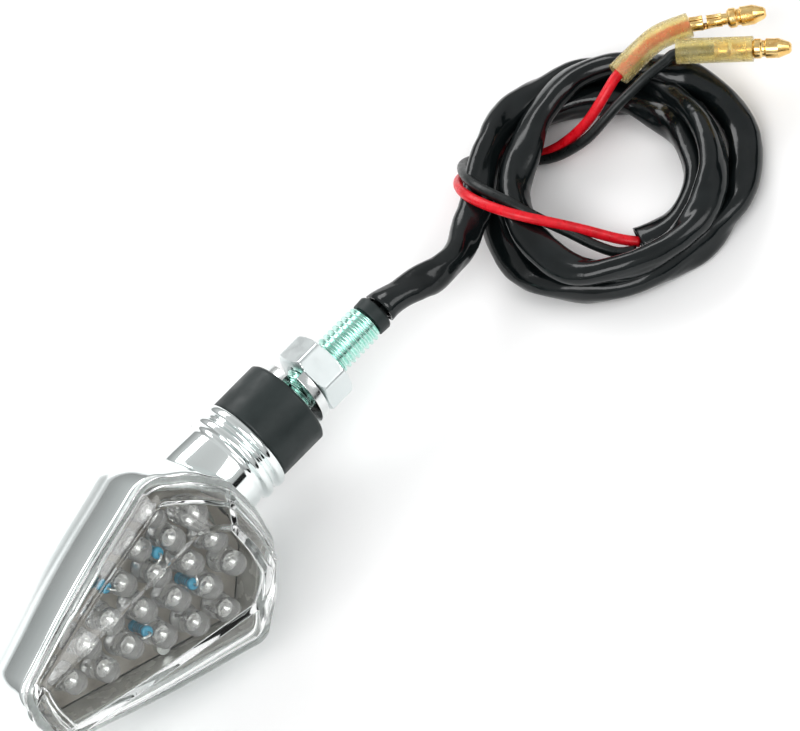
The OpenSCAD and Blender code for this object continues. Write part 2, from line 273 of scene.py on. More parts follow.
def add_noise(material, scale, detail=3.0, stretch=(1, 1, 1)):
    """A noise texture in object space, with its scale in features per metre."""
    nodes, links = material.node_tree.nodes, material.node_tree.links
    place = nodes.new("ShaderNodeTexCoord")
    mapping = nodes.new("ShaderNodeMapping")
    mapping.inputs["Scale"].default_value = stretch
    texture = nodes.new("ShaderNodeTexNoise")
    texture.inputs["Scale"].default_value = scale
    texture.inputs["Detail"].default_value = detail
    links.new(place.outputs["Object"], mapping.inputs["Vector"])
    links.new(mapping.outputs["Vector"], texture.inputs["Vector"])
    return texture.outputs["Fac"]


def vary_color(material, low, high, scale, detail=3.0, stretch=(1, 1, 1)):
    """Colour that drifts between two values over the surface."""
    nodes, links = material.node_tree.nodes, material.node_tree.links
    ramp = nodes.new("ShaderNodeValToRGB")
    ramp.color_ramp.elements[0].position = 0.35
    ramp.color_ramp.elements[1].position = 0.68
    ramp.color_ramp.elements[0].color = (*low, 1)
    ramp.color_ramp.elements[1].color = (*high, 1)
    links.new(add_noise(material, scale, detail, stretch), ramp.inputs["Fac"])
    links.new(ramp.outputs["Color"], nodes["Principled BSDF"].inputs["Base Color"])


def vary_roughness(material, low, high, scale, detail=3.0, stretch=(1, 1, 1)):
    nodes, links = material.node_tree.nodes, material.node_tree.links
    spread = nodes.new("ShaderNodeMapRange")
    spread.inputs["From Min"].default_value = 0.35
    spread.inputs["From Max"].default_value = 0.68
    spread.inputs["To Min"].default_value = low
    spread.inputs["To Max"].default_value = high
    links.new(add_noise(material, scale, detail, stretch), spread.inputs["Value"])
    links.new(spread.outputs["Result"], nodes["Principled BSDF"].inputs["Roughness"])


def add_bump(material, scale, distance, strength=0.5, detail=3.0, stretch=(1, 1, 1)):
    nodes, links = material.node_tree.nodes, material.node_tree.links
    bump = nodes.new("ShaderNodeBump")
    bump.inputs["Strength"].default_value = strength
    bump.inputs["Distance"].default_value = distance
    links.new(add_noise(material, scale, detail, stretch), bump.inputs["Height"])
    links.new(bump.outputs["Normal"], nodes["Principled BSDF"].inputs["Normal"])


def chrome():
    material = principled("chrome", (0.86, 0.91, 0.905), 0.05, Metallic=1.0)
    vary_color(material, (0.84, 0.895, 0.89), (0.89, 0.93, 0.925), 60)
    vary_roughness(material, 0.05, 0.1, 220)
    add_bump(material, 110, 0.00006, 0.2)
    return material


def satin_nut():
    material = principled("nut_chrome", (0.74, 0.79, 0.79), 0.25, Metallic=1.0)
    vary_color(material, (0.735, 0.785, 0.785), (0.775, 0.82, 0.82), 160)
    vary_roughness(material, 0.28, 0.36, 500)
    add_bump(material, 2600, 0.000008, 0.3)
    return material


def washer_steel():
    material = principled("washer_steel", (0.78, 0.8, 0.79), 0.16, Metallic=1.0)
    vary_color(material, (0.72, 0.75, 0.75), (0.82, 0.84, 0.83), 300)
    vary_roughness(material, 0.14, 0.24, 600)
    add_bump(material, 1500, 0.00001, 0.3)
    return material


def mint_zinc():
    material = principled("mint_zinc", (0.62, 0.85, 0.79), 0.2, Metallic=1.0)
    vary_color(material, (0.54, 0.82, 0.74), (0.66, 0.9, 0.84), 500)
    vary_roughness(material, 0.14, 0.3, 900)
    add_bump(material, 2200, 0.00001, 0.3)
    return material


def rubber():
    material = principled("rubber", (0.02, 0.028, 0.028), 0.42, Specular_IOR_Level=0.45)
    vary_color(material, (0.016, 0.023, 0.023), (0.027, 0.036, 0.036), 130)
    vary_roughness(material, 0.36, 0.52, 300)
    add_bump(material, 3800, 0.00004, 0.35, 4.0)
    return material


def glossy_pvc():
    material = principled("sleeving_pvc", (0.006, 0.009, 0.0095), 0.14, Specular_IOR_Level=0.42, Coat_Weight=0.15,
                          Coat_Roughness=0.08)
    vary_color(material, (0.005, 0.0075, 0.008), (0.012, 0.016, 0.017), 90)
    vary_roughness(material, 0.1, 0.22, 240)
    add_bump(material, 420, 0.0002, 0.35, 2.0)
    return material


def wire_pvc(name, low, high):
    material = principled(name, high, 0.32, Specular_IOR_Level=0.5)
    vary_color(material, low, high, 700)
    vary_roughness(material, 0.26, 0.42, 900)
    add_bump(material, 5200, 0.00003, 0.3)
    return material


def brass():
    material = principled("brass", (0.94, 0.66, 0.27), 0.2, Metallic=1.0)
    vary_color(material, (0.86, 0.55, 0.2), (0.98, 0.76, 0.38), 500)
    vary_roughness(material, 0.14, 0.32, 900)
    add_bump(material, 2400, 0.00004, 0.3)
    return material


def yellow_pvc():
    material = principled("yellow_pvc", (0.93, 0.83, 0.42), 0.22, Transmission_Weight=0.75, IOR=1.3, Alpha=0.72)
    vary_color(material, (0.9, 0.77, 0.34), (0.96, 0.88, 0.52), 260)
    vary_roughness(material, 0.16, 0.34, 600)
    add_bump(material, 1500, 0.00006, 0.4)
    return material


def lens_plastic():
    material = principled("lens_plastic", (0.985, 0.995, 0.99), 0.0, Transmission_Weight=1.0, IOR=1.45)
    vary_roughness(material, 0.0, 0.012, 300)
    return material


def led_epoxy():
    material = principled("led_epoxy", (0.985, 0.99, 0.985), 0.05, Transmission_Weight=0.75, IOR=1.45)
    vary_color(material, (0.96, 0.965, 0.955), (0.995, 0.995, 0.99), 900)
    vary_roughness(material, 0.02, 0.12, 900)
    add_bump(material, 1300, 0.00005, 0.3)
    return material


def tinned():
    material = principled("tinned", (0.72, 0.72, 0.7), 0.3, Metallic=1.0)
    vary_color(material, (0.62, 0.62, 0.6), (0.8, 0.8, 0.78), 1200)
    vary_roughness(material, 0.2, 0.42, 1800)
    return material


def board_paint():
    material = principled("board_paint", (0.5, 0.47, 0.4), 0.5)
    vary_color(material, (0.34, 0.31, 0.26), (0.66, 0.63, 0.57), 130, 5.0)
    vary_roughness(material, 0.36, 0.6, 300)
    add_bump(material, 2400, 0.00005, 0.4)
    return material


def metallised():
    material = principled("metallised", (0.6, 0.6, 0.56), 0.3, Metallic=0.2)
    vary_color(material, (0.5, 0.5, 0.46), (0.7, 0.7, 0.66), 160)
    vary_roughness(material, 0.15, 0.35, 260)
    add_bump(material, 700, 0.00008, 0.3)
    return material


def lacquer(name, low, high):
    material = principled(name, high, 0.28, Coat_Weight=0.4, Coat_Roughness=0.15)
    vary_color(material, low, high, 900)
    vary_roughness(material, 0.22, 0.4, 1200)
    return material


CHROME = chrome()
NUT = satin_nut()
WASHER = washer_steel()
MINT = mint_zinc()
RUBBER = rubber()
PVC = glossy_pvc()
RED = wire_pvc("red_pvc", (0.6, 0.006, 0.016), (0.78, 0.014, 0.03))
BLACK = wire_pvc("black_pvc", (0.008, 0.011, 0.011), (0.016, 0.02, 0.02))
BRASS = brass()
YELLOW = yellow_pvc()
LENS = lens_plastic()
EPOXY = led_epoxy()
TIN = tinned()
BOARD = board_paint()
LINER = metallised()
SEAL = lacquer("seal", (0.66, 0.7, 0.69), (0.74, 0.78, 0.77))
BLUE = lacquer("resistor_blue", (0.04, 0.36, 0.56), (0.09, 0.47, 0.66))
NAVY = lacquer("resistor_band", (0.006, 0.014, 0.05), (0.012, 0.026, 0.08))


# --- camera, floor and light --------------------------------------------------------------------

def make_camera():
    """A long lens from the left and above, rolled so that the stem rises to the right."""
    right = Vector((0.914, -0.404, 0))
    up = Vector((0.325, 0.736, 0.594))
    roll = math.radians(25.7)
    x = (right * math.cos(roll) - up * math.sin(roll)).normalized()
    back = right.cross(up).normalized()
    y = back.cross(x)
    view_width = 153.8 * MM
    aim_right, aim_up = 29.4 * MM, 14.7 * MM
    lens, sensor = 600, 36
    distance = view_width * lens / sensor
    target = AXIS_START + x * aim_right + y * aim_up
    data = bpy.data.cameras.new("camera")
    data.lens = lens
    data.sensor_width = sensor
    data.clip_start = 0.01
    data.clip_end = 20
    camera = bpy.data.objects.new("camera", data)
    turn = Matrix((x, y, back)).transposed().to_4x4()
    camera.matrix_world = Matrix.Translation(target + back * distance) @ turn
    bpy.context.scene.collection.objects.link(camera)
    bpy.context.scene.camera = camera


def make_floor():
    material = principled("floor_paper", (0.95, 0.95, 0.95), 0.7)
    size = 3.0
    mesh = bpy.data.meshes.new("floor")
    corners = [(-size, -size, 0), (size, -size, 0), (size, size, 0), (-size, size, 0)]
    mesh.from_pydata(corners, [], [(0, 1, 2, 3)])
    floor = link("floor", mesh, [material], None)
    floor.location.z = -0.0002


def area_light(name, place, target, size, power):
    data = bpy.data.lights.new(name, "AREA")
    data.shape = "RECTANGLE"
    data.size, data.size_y = size
    data.energy = power
    light = bpy.data.objects.new(name, data)
    light.location = place
    light.rotation_euler = (Vector(target) - Vector(place)).to_track_quat("-Z", "Y").to_euler()
    bpy.context.scene.collection.objects.link(light)


def make_light():
    world = bpy.data.worlds.new("studio")
    bpy.context.scene.world = world
    world.use_nodes = True
    nodes, links = world.node_tree.nodes, world.node_tree.links
    back = nodes["Background"]
    back.inputs["Strength"].default_value = 0.62
    place = nodes.new("ShaderNodeTexCoord")
    split = nodes.new("ShaderNodeSeparateXYZ")
    ramp = nodes.new("ShaderNodeValToRGB")
    stops = [(0.0, 0.5), (0.16, 0.62), (0.35, 0.85), (0.6, 1.0), (1.0, 0.8)]
    ramp.color_ramp.elements[0].position, tone = stops[0]
    ramp.color_ramp.elements[0].color = (tone, tone, tone, 1)
    ramp.color_ramp.elements[1].position, tone = stops[-1]
    ramp.color_ramp.elements[1].color = (tone, tone, tone, 1)
    for position, tone in stops[1:-1]:
        ramp.color_ramp.elements.new(position).color = (tone, tone, tone, 1)
    links.new(place.outputs["Generated"], split.inputs["Vector"])
    links.new(split.outputs["Z"], ramp.inputs["Fac"])
    links.new(ramp.outputs["Color"], back.inputs["Color"])
    centre = (0.05, 0, 0.02)
    area_light("key", (-0.35, -0.25, 0.6), centre, (0.5, 0.4), 2.2)
    area_light("fill", (0.45, -0.5, 0.5), centre, (0.4, 0.4), 1.0)
    area_light("rim", (0.1, 0.55, 0.45), centre, (0.7, 0.25), 1.7)


def dark_card(name, place, target, size):
    """A black card out of the picture, for the dark lines in the chrome."""
    material = principled(name + "_black", (0.01, 0.01, 0.01), 0.9)
    w, h = size[0] / 2, size[1] / 2
    mesh = bpy.data.meshes.new(name)
    mesh.from_pydata([(-w, -h, 0), (w, -h, 0), (w, h, 0), (-w, h, 0)], [], [(0, 1, 2, 3)])
    card = link(name, mesh, [material], None)
    card.location = place
    card.rotation_euler = (Vector(target) - Vector(place)).to_track_quat("Z", "Y").to_euler()


def make_cards():
    centre = (0, 0, 0.01)
    dark_card("card_front", (0.12, -0.45, 0.05), centre, (0.3, 0.1))
    dark_card("card_side", (0.5, -0.1, 0.06), centre, (0.25, 0.12))


bpy.context.scene.view_settings.view_transform = "Standard"
bpy.context.scene.view_settings.look = "Medium High Contrast"
make_camera()
make_cards()
make_floor()
make_light()


# --- cable --------------------------------------------------------------------------------------

def coil_route():
    """The loose coil's points, worked round its centre from the polar list."""
    out = []
    for i, (radius, height) in enumerate(COIL):
        a = math.radians(COIL_START + COIL_STEP * i)
        out.append((COIL_CENTRE[0] + radius * math.cos(a), COIL_CENTRE[1] + radius * math.sin(a), height))
    return out + [RED_ROUTE[0]]


def sleeving_section(count):
    """Flattened, creased section of the thin sleeving, turning slowly along its length."""
    def section(i, a):
        along = i / count
        squeeze = 0.17 + 0.07 * noise.noise((along * 34, 3.1, 0))
        twist = 1.3 * math.sin(along * 21) + 2.2 * noise.noise((along * 22, 0, 7.7))
        b = a - twist
        ring = 1 + squeeze * math.cos(2 * b) - 0.05 * squeeze
        valley = noise.noise((math.cos(b) * 1.3, math.sin(b) * 1.3, along * 60))
        fine = noise.noise((math.cos(b) * 2.6, math.sin(b) * 2.6, along * 150 + 9))
        crease = 1 - 0.13 * max(0, valley - 0.08) - 0.05 * max(0, fine)
        mouth = 1 + 0.22 * math.exp(-(i / 3.5) ** 2)
        radius = SLEEVING_D / 2 * ring * crease * 0.99 * mouth
        return radius * math.cos(a), radius * math.sin(a)
    return section


def make_sleeving():
    """The black PVC sleeving from the grommet to its cut end, hollow at both ends."""
    path = smooth_path(LEAD + coil_route(), 1.1)[1:]
    section = sleeving_section(len(path))
    sides = 36
    outer = tube_rings(path, section, sides)
    wall = 0.86

    def shrunk(i, a):
        x, y = section(i, a)
        return x * wall, y * wall

    inner = tube_rings(path, shrunk, sides)
    mouth = 7
    start = list(reversed(inner[:mouth]))
    end = list(reversed(inner[-mouth:]))
    rings = start + outer + end
    parts = [(*skin(rings), 0)]
    for side in (-1.05, 1.05):
        stub = [Vector((GROMMET_END - 0.6, side, LEAD[0][2]))] + [p + Vector((0, side, 0)) for p in path[:6]]
        parts.append((*skin(tube_rings(stub, round_section(0.95), 16)), 1))
    mesh = mesh_of("sleeving", parts, TABLE)
    obj = link("sleeving", mesh, [PVC, BLACK], "stem")
    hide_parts("sleeving_lead", "sleeving_coil")
    return obj


def wire_path(route, step=0.8):
    return smooth_path(route, step)


def make_wire(name, route, material):
    """One insulated wire, from the sleeving's cut end into its terminal."""
    path = wire_path(route)
    mesh = mesh_of(name, [(*skin(tube_rings(path, round_section(WIRE_D / 2), 20)), 0)], TABLE)
    obj = link(name + "_insulation", mesh, [material], "stem")
    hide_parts(name)
    return obj


def terminal_parts():
    """A brass bullet terminal along +X: insulation crimp, wire crimp, neck and grooved bullet."""
    bullet = rounded([(7.4, 0), (7.4, 1.5), (7.9, 1.95), (9.0, 1.95), (9.3, 1.62), (9.8, 1.62), (10.1, 1.95),
                      (12.5, 1.95), (14.6, 1.15), (15.0, 0.7), (15.0, 0)], 0.12)
    bullet = [(x, max(r, 0)) for x, r in bullet]
    neck = rounded([(6.2, 0), (6.2, 1.15), (7.5, 1.15), (7.5, 0)], 0.05)
    parts = [turned_solid(bullet, 0, 48), turned_solid(neck, 0, 32)]
    for start, end, radius in ((0, 2.6, 1.5), (3.4, 6.3, 1.35)):
        parts.append(crimp(start, end, radius))
    floor = [[(x, y, -1.15) for y in (-0.7, 0.7)] + [(x, y, -1.4) for y in (0.7, -0.7)] for x in (2.2, 3.8)]
    parts.append((*skin(floor), 0))
    return parts


def crimp(start, end, radius):
    """A rolled crimp: two ears curling in to meet on top."""
    section = []
    steps = 40
    for side, size in ((1, radius), (-1, radius - 0.3)):
        for k in range(steps + 1):
            t = k / steps if side > 0 else 1 - k / steps
            a = math.radians(-265 + 350 * t)
            curl = 1 - 0.22 * (abs(t - 0.5) * 2) ** 8
            section.append((math.cos(a) * size * curl, math.sin(a) * size * curl))
    lip = 0.12
    rings = []
    for x, scale in ((start, 1.05), (start + lip, 1.0), ((start + end) / 2, 0.96), (end - lip, 1.0), (end, 1.04)):
        rings.append([(x, y * scale, z * scale) for y, z in section])
    return (*skin(rings), 0)


def make_terminal(name, base, direction):
    mesh = mesh_of(name, terminal_parts(), aim(base, direction))
    obj = link(name + "_brass", mesh, [BRASS], "stem")
    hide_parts(name)
    return obj


def sleeve_mesh(name, path):
    """A soft clear tube along a path, slightly dented, with a round cut lip at each end."""
    count = len(path)

    def outer(i, a):
        wave = 1 + 0.035 * noise.noise((math.cos(a), math.sin(a), i * 0.12 + len(name)))
        return SLEEVE_OUT * wave * math.cos(a), SLEEVE_OUT * wave * math.sin(a)

    def inner(i, a):
        x, y = outer(i, a)
        return x * SLEEVE_IN / SLEEVE_OUT, y * SLEEVE_IN / SLEEVE_OUT

    outside = tube_rings(path, outer, 40)
    inside = tube_rings(path, inner, 40)
    rings = outside + list(reversed(inside)) + [outside[0]]
    return mesh_of(name, [(*skin(rings, True, False, False), 0)], TABLE)


def make_sleeve(name, path, body):
    obj = link(name + "_tube", sleeve_mesh(name, path), [YELLOW], body)
    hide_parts(name)
    return obj


def make_cable():
    make_sleeving()
    red_terminal = make_terminal("red_terminal", RED_BASE, RED_DIR)
    black_terminal = make_terminal("black_terminal", BLACK_BASE, BLACK_DIR)
    red_sleeve = make_sleeve("red_sleeve", smooth_path(RED_SLEEVE, 0.7), "red_sleeve")
    start = Vector(BLACK_SLEEVE_BASE)
    end = start + Vector(BLACK_DIR).normalized() * SLEEVE_LENGTH
    black_sleeve = make_sleeve("black_sleeve", smooth_path([start, start.lerp(end, 0.5), end], 0.7), "black_sleeve")
    make_wire("red_wire", RED_ROUTE, RED)
    make_wire("black_wire", BLACK_ROUTE, BLACK)


# --- stem ---------------------------------------------------------------------------------------

def make_collar():
    """The rubber collar in two halves that share a ring in the middle."""
    radius = 9.55
    bore = 6.1
    middle = COLLAR_LENGTH / 2
    steps = 14
    joints = [("collar_stud_half", COLLAR_LENGTH, middle, "stem", "collar"),
              ("collar_head_half", middle, 0.0, "collar", "head")]
    for name, far, near, outer_body, inner_body in joints:
        profile = []
        for k in range(steps + 1):
            x = far + (near - far) * k / steps
            edge = min(x, COLLAR_LENGTH - x)
            lip = 0.45
            drop = lip - math.sqrt(max(lip ** 2 - max(lip - edge, 0) ** 2, 0)) if edge < lip else 0
            profile.append((x, radius - drop))
        profile += [(near, bore), (far, bore)]
        mesh = mesh_of(name, [turned_solid(profile, 0, 96)], STEM)
        obj = link(name, mesh, [RUBBER], None)
        crisp_edges(obj, 50)
        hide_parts("rubber_collar")
        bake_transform(obj)


def thread_radius(x, a, root, crest, end):
    """Radius of the rolled thread at a place along and around the stud, run out at its tip."""
    phase = (x / THREAD_PITCH - a / (2 * math.pi)) % 1
    tooth = min(1, max(0, 1.2 - 2.9 * abs(phase - 0.5)))
    tip = min(1, max(0, (end - x) / 0.9))
    return min(root + (crest - root) * tooth, root - 0.1 + (crest - root + 0.1) * tip)


def make_stud():
    """The hollow stud with its rolled thread, on a grid that follows the helix."""
    sides, per_turn = 72, 12
    start, end, bore = 7.4, STUD_END, 2.6
    rows = int((end - start) / THREAD_PITCH * per_turn) + 2 * per_turn
    verts, faces = [], []
    for i in range(rows + 1):
        for k in range(sides):
            a = 2 * math.pi * k / sides
            x = start + THREAD_PITCH * ((i - per_turn) / per_turn + k / sides)
            x = min(max(x, start), end)
            r = thread_radius(x, a, 3.3, 3.98, end)
            verts.append((x, r * math.cos(a), r * math.sin(a)))
    for i in range(rows):
        for k in range(sides - 1):
            faces.append((i * sides + k, i * sides + k + 1, (i + 1) * sides + k + 1, (i + 1) * sides + k))
        low, high = min(i + per_turn, rows), min(i + per_turn + 1, rows)
        faces.append((i * sides + sides - 1, low * sides, high * sides, (i + 1) * sides + sides - 1))
    for x in (start, end):
        for k in range(sides):
            a = 2 * math.pi * k / sides
            verts.append((x, bore * math.cos(a), bore * math.sin(a)))
    inner = (rows + 1) * sides
    for k in range(sides):
        m = (k + 1) % sides
        faces.append((inner + k, inner + m, m, k))
        faces.append((rows * sides + k, rows * sides + m, inner + sides + m, inner + sides + k))
        faces.append((inner + sides + k, inner + sides + m, inner + m, inner + k))
    flange = rounded([(5.5, bore), (7.5, bore), (7.5, 7), (5.5, 7)], 0.2)
    mesh = mesh_of("stud_thread", [(verts, faces, 0), turned_solid(flange, 0, 64)], STEM)
    obj = link("stud_thread", mesh, [MINT], "stem")
    crisp_edges(obj, 70)
    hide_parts("stud")


def hex_radius(a):
    """Distance from the axis to a hexagon's side at an angle, with the corners a little rounded."""
    fold = (a % (math.pi / 3)) - math.pi / 6
    flat = NUT_FLATS / 2 / math.cos(fold)
    corner = NUT_FLATS / 2 / math.cos(math.pi / 6)
    return min(flat, corner - 0.16 + 0.16 * (1 - abs(fold) / (math.pi / 6)))


def make_nut():
    """The hex nut, its corners turned down by a 30 degree chamfer at both ends."""
    sides = 240
    bore = 4.05
    chamfer = math.tan(math.radians(60))
    rings = []
    heights = [0, 0.04, 0.1, 0.2, 0.35, 0.5, 0.7, 0.9, 1.1, 1.3]
    heights = heights + [NUT_THICK / 2] + [NUT_THICK - h for h in reversed(heights)]
    for h in heights:
        edge = min(h, NUT_THICK - h)
        ring = []
        for k in range(sides):
            a = 2 * math.pi * k / sides
            hexagon = hex_radius(a + math.pi / 6)
            cone = NUT_FLATS / 2 - 0.35 + 0.35 * min(1, edge / 0.2) + max(0, edge - 0.1) * chamfer
            soft = 0.06 * max(0, 1 - edge / 0.12)
            r = min(hexagon, cone) - soft
            ring.append((NUT_START + h, r * math.cos(a + NUT_TURN), r * math.sin(a + NUT_TURN)))
        rings.append(ring)
    mouth = 0.55
    inside = []
    for h, extra in ((NUT_THICK, mouth), (NUT_THICK - mouth, 0), (mouth, 0), (0, mouth)):
        r = bore + extra
        inside.append([(NUT_START + h, r * math.cos(2 * math.pi * k / sides + NUT_TURN),
                        r * math.sin(2 * math.pi * k / sides + NUT_TURN)) for k in range(sides)])
    verts, faces = skin(rings + inside + [rings[0]], True, False, False)
    mesh = mesh_of("nut_body", [(verts, faces, 0)], STEM)
    obj = link("nut_body", mesh, [NUT], "nut")
    crisp_edges(obj, 28)
    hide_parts("hex_nut")


def crisp_edges(obj, degrees):
    """Marks the edges sharper than an angle, so that flats stay flat."""
    bm = bmesh.new()
    bm.from_mesh(obj.data)
    limit = math.radians(degrees)
    for edge in bm.edges:
        if len(edge.link_faces) == 2 and edge.calc_face_angle(0) > limit:
            edge.smooth = False
    bm.to_mesh(obj.data)
    bm.free()


def make_washer():
    """The split spring washer: one turn of square wire, sprung open at its cut."""
    thick = 2.0
    rise = WASHER_FREE - thick
    steps = 120
    section = rounded([(4.15, 0), (7.35, 0), (7.35, thick), (4.15, thick)], 0.16, 3)
    rings = []
    for i in range(steps + 1):
        t = i / steps
        a = math.radians(110 + 345 * t)
        x0 = WASHER_START + rise * (1 - t)
        rings.append([(x0 + x, r * math.cos(a), r * math.sin(a)) for r, x in section])
    mesh = mesh_of("washer_coil", [(*skin(rings), 0)], STEM)
    obj = link("washer_coil", mesh, [WASHER], "washer")
    crisp_edges(obj, 40)
    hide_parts("lock_washer")


def make_grommet():
    """The rubber plug in the stud's mouth, with a slightly dished outer end."""
    profile = rounded([(30, 2.1), (30, 2.58), (33.92, 2.58), (33.92, 3.75), (36.1, 3.85), (36.5, 3.6), (36.3, 2.1)],
                      0.14)
    mesh = mesh_of("grommet_plug", [turned_solid(profile, 0, 64)], STEM)
    obj = link("grommet_plug", mesh, [RUBBER], "stem")
    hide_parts("grommet")


# --- head ---------------------------------------------------------------------------------------

def kite(corners, radii, inset=0.0, bulge=0.0, arc=10, straight=12):
    """A symmetric outline with rounded corners, drawn in by inset; sides may bulge outwards."""
    half = [Vector(c) for c in corners]
    full = half + [Vector((c.x, -c.y)) for c in reversed(half)]
    radii = list(radii) + list(reversed(radii))
    count = len(full)
    middle = Vector((-40, 0))

    def moved(i):
        a, b = full[i], full[(i + 1) % count]
        side = (b - a).normalized()
        normal = Vector((side.y, -side.x))
        if normal.dot((a + b) / 2 - middle) < 0:
            normal = -normal
        return a - normal * inset, side, normal

    lines = [moved(i) for i in range(count)]
    joints = []
    for i in range(count):
        (p, d, _), (q, e, _) = lines[i - 1], lines[i]
        cross = d.x * e.y - d.y * e.x
        joints.append(p + d * ((q - p).x * e.y - (q - p).y * e.x) / cross)
    out = []
    for i in range(count):
        here = joints[i]
        before = joints[i - 1] - here
        after = joints[(i + 1) % count] - here
        half_angle = before.angle(after) / 2
        radius = max(radii[i] - inset * 0.6, 0.25)
        reach = min(radius / math.tan(half_angle), before.length * 0.46, after.length * 0.46)
        radius = reach * math.tan(half_angle)
        centre = here + (before.normalized() + after.normalized()).normalized() * radius / math.sin(half_angle)
        start = here + before.normalized() * reach
        end = here + after.normalized() * reach
        a0 = math.atan2(start.y - centre.y, start.x - centre.x)
        a1 = math.atan2(end.y - centre.y, end.x - centre.x)
        sweep = (a1 - a0 + math.pi) % (2 * math.pi) - math.pi
        for k in range(arc + 1):
            a = a0 + sweep * k / arc
            out.append(Vector((centre.x + radius * math.cos(a), centre.y + radius * math.sin(a))))
        nxt = (i + 1) % count
        other_before = joints[i] - joints[nxt]
        other_after = joints[(nxt + 1) % count] - joints[nxt]
        other_half = other_before.angle(other_after) / 2
        other_radius = max(radii[nxt] - inset * 0.6, 0.25)
        other_reach = min(other_radius / math.tan(other_half), other_before.length * 0.46,
                          other_after.length * 0.46)
        finish = joints[nxt] + other_before.normalized() * other_reach
        normal = lines[i][2]
        for k in range(1, straight):
            t = k / straight
            out.append(end.lerp(finish, t) + normal * bulge * math.sin(math.pi * t) ** 1.5)
    return out


RIM_RADII = (5.5, 7.5, 5.0)


def rim_ring(height, inset, bulge=0.7):
    return [(p.x, p.y, height) for p in kite(RIM, RIM_RADII, inset, bulge)]


def dome_rings(skin_in, floor):
    """Rings from the bottom of the side wall round to the back, shrinking towards a middle point."""
    centre = Vector((-34, 0))
    base = kite(RIM, RIM_RADII, skin_in, 0.7)
    rings = []
    steps = 14
    for i in range(1, steps):
        t = i / steps * math.pi / 2
        scale = math.cos(t) ** 0.62
        height = WALL_BOTTOM - (WALL_BOTTOM - floor) * math.sin(t)
        rings.append([(centre.x + (p.x - centre.x) * scale, p.y * scale, height) for p in base])
    return rings


def make_housing():
    """The chrome shell: rounded rim lip, side wall, domed back, hollow front, and its neck."""
    outer = [rim_ring(RIM_HEIGHT - 0.15, 1.35), rim_ring(RIM_HEIGHT, 1.1), rim_ring(RIM_HEIGHT, 0.6),
             rim_ring(RIM_HEIGHT - 0.1, 0.28), rim_ring(RIM_HEIGHT - 0.35, 0.08), rim_ring(RIM_HEIGHT - 0.8, 0)]
    walls = 8
    outer += [rim_ring(RIM_HEIGHT - 0.8 - (RIM_HEIGHT - 0.8 - WALL_BOTTOM) * k / walls,
                       -0.3 * math.sin(math.pi * k / walls)) for k in range(1, walls + 1)]
    outer += dome_rings(0.0, BACK)
    inner = [rim_ring(RIM_HEIGHT - 0.6, 1.7), rim_ring(12.5, 1.8), rim_ring(8.2, 2.2)]
    rings = list(reversed(inner)) + outer
    shell = (*skin(rings), 0)
    neck_profile = [(-17.5, 6.0), (-17.5, 10.9), (-16.2, 10.35), (-14.6, 10.0), (-12.8, 9.86), (-6.9, 9.82),
                    (-6.5, 9.7), (-6.1, 9.46), (-5.6, 9.42), (-5.15, 9.62), (-4.95, 10.1), (-4.6, 10.36),
                    (-4.1, 10.42), (-3.6, 10.34), (-3.3, 10.08), (-3.1, 9.62), (-2.75, 9.46), (-2.4, 9.46),
                    (-2.05, 9.66), (-1.9, 10.06), (-1.55, 10.34), (-1.05, 10.42), (-0.55, 10.36),
                    (-0.2, 10.16), (-0.05, 9.9), (-0.02, 6.0)]
    neck = turned_solid(neck_profile, 0, 120)
    mesh = mesh_of("shell", [shell, neck], HEAD)
    obj = link("shell", mesh, [CHROME], "head")
    crisp_edges(obj, 50)
    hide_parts("housing")


def plane_height(x, near, far):
    """Height above the rim of a slanting facet that runs between two (x, height) points."""
    t = (x - near[0]) / (far[0] - near[0])
    return near[1] + (far[1] - near[1]) * t


LENS_SKIN = 1.5
FLANK = [(-16.4, 7.6), (-27.4, 19.2), (-68.2, 7.0)]
FLANK_TOP = ((-27, 7.9), (-66.5, 4.3))
PLATEAU = [(-19.9, 6.3), (-25.6, 10.8), (-70.2, 5.4)]
PLATEAU_TOP = ((-21, 12.8), (-70, 4.9))


def lens_rings(inner):
    """Rings of the lens from its foot to its plateau, with a small bevel at each ridge; inner is the skin."""
    rings = []
    if inner:
        foot = ((0.82, 2.3), (1.6, 2.2), (2.4, 2.3))
    else:
        foot = ((0.82, 1.1), (0.82, 0.35), (1.0, 0.22), (1.6, 0.26), (1.95, 0.5), (2.1, 0.75))
    for height, inset in foot:
        rings.append([(p.x, p.y, RIM_HEIGHT + height) for p in kite(RIM, RIM_RADII, inset, 0.7)])
    for inset, drop in ((-0.12, 0.75), (0.0, 0.28), (0.2, 0.03), (0.5, -0.12)):
        rings.append([(p.x, p.y, RIM_HEIGHT + plane_height(p.x, *FLANK_TOP) - drop - inner)
                      for p in kite(FLANK, (2.4, 3.6, 2.4), inset + inner, 0.5)])
    for inset, drop in ((-0.3, 0.2), (-0.06, 0.05), (0.16, 0.0), (0.6, 0.0), (2.2, 0.0)):
        rings.append([(p.x, p.y, RIM_HEIGHT + plane_height(p.x, *PLATEAU_TOP) - drop - inner)
                      for p in kite(PLATEAU, (1.4, 2.8, 1.6), inset + inner * 0.8, 0.25)])
    return rings


def make_lens():
    """The clear lens, one shell of even thickness."""
    rings = list(reversed(lens_rings(LENS_SKIN))) + lens_rings(0)
    mesh = mesh_of("lens_shell", [(*skin(rings), 0)], HEAD)
    obj = link("lens_shell", mesh, [LENS], "head")
    crisp_edges(obj, 48)
    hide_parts("lens")


